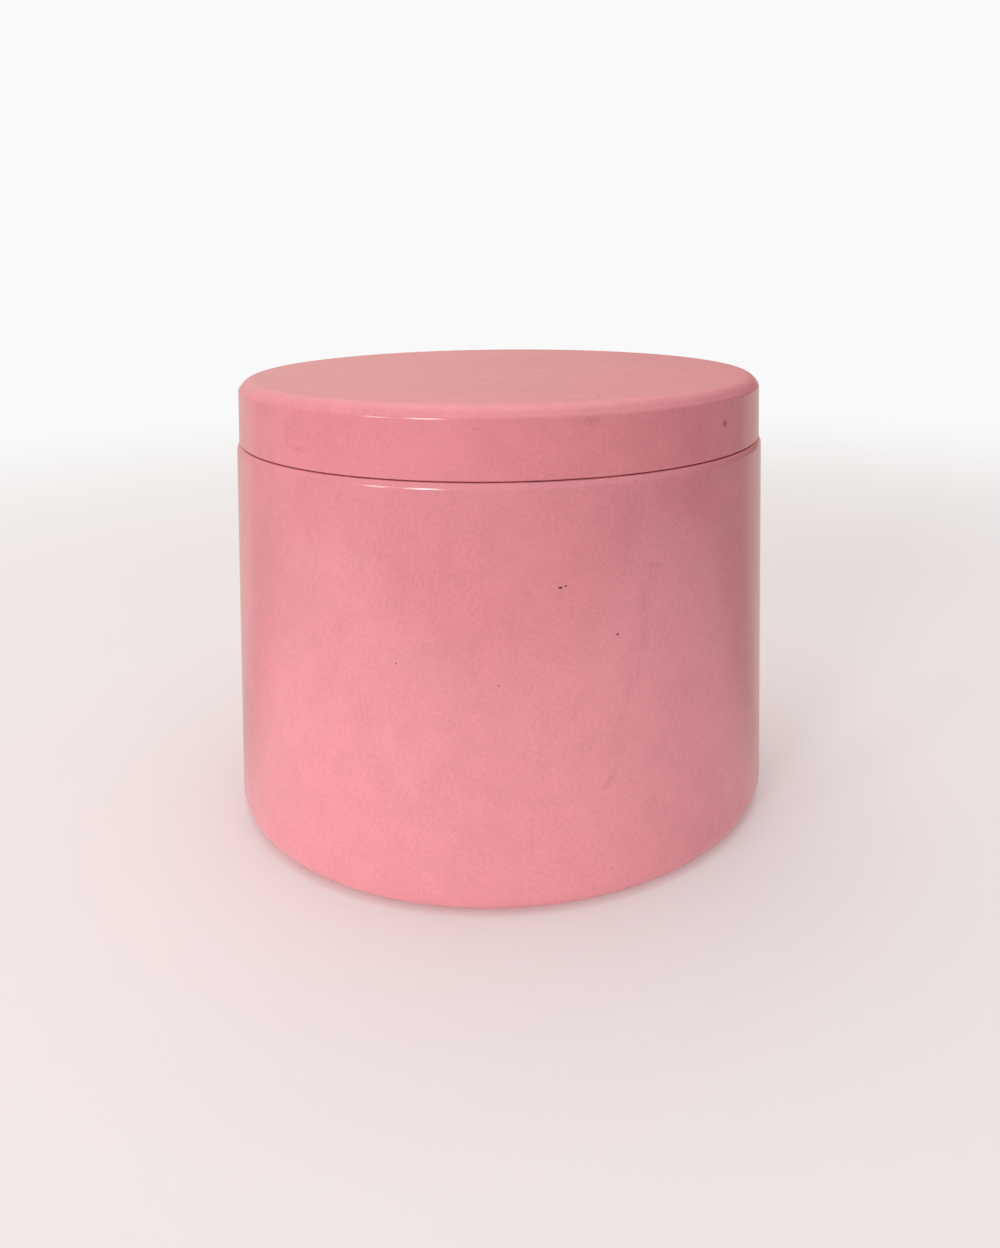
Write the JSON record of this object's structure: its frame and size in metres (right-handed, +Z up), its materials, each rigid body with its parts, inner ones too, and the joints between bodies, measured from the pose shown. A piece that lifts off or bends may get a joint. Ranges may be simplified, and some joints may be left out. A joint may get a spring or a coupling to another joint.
{
  "type": "candle tin",
  "caption": "Round seamless metal tin with a flush slip lid over a stepped-in neck, for pouring and storing a container candle.",
  "frame": {"origin": "centre of the base, in the plane of the ring that the tin stands on", "axes": "+Z up along the tin's own axis, from the base to the lid; X and Y are any two level directions, because the tin is round"},
  "size_m": [0.078, 0.078, 0.0615],
  "materials": {
    "body_paint": "satin pink enamel on tinplate",
    "lid_paint": "satin pink enamel on tinplate"
  },
  "bodies": {
    "tin": {"tin_body": "body_paint"},
    "lid": {"lid": "lid_paint"}
  },
  "joints": [
    {"name": "lid_lift", "type": "slide", "parent": "tin", "child": "lid", "axis": [0, 0, 1], "range_m": [0, 0.045]}
  ]
}
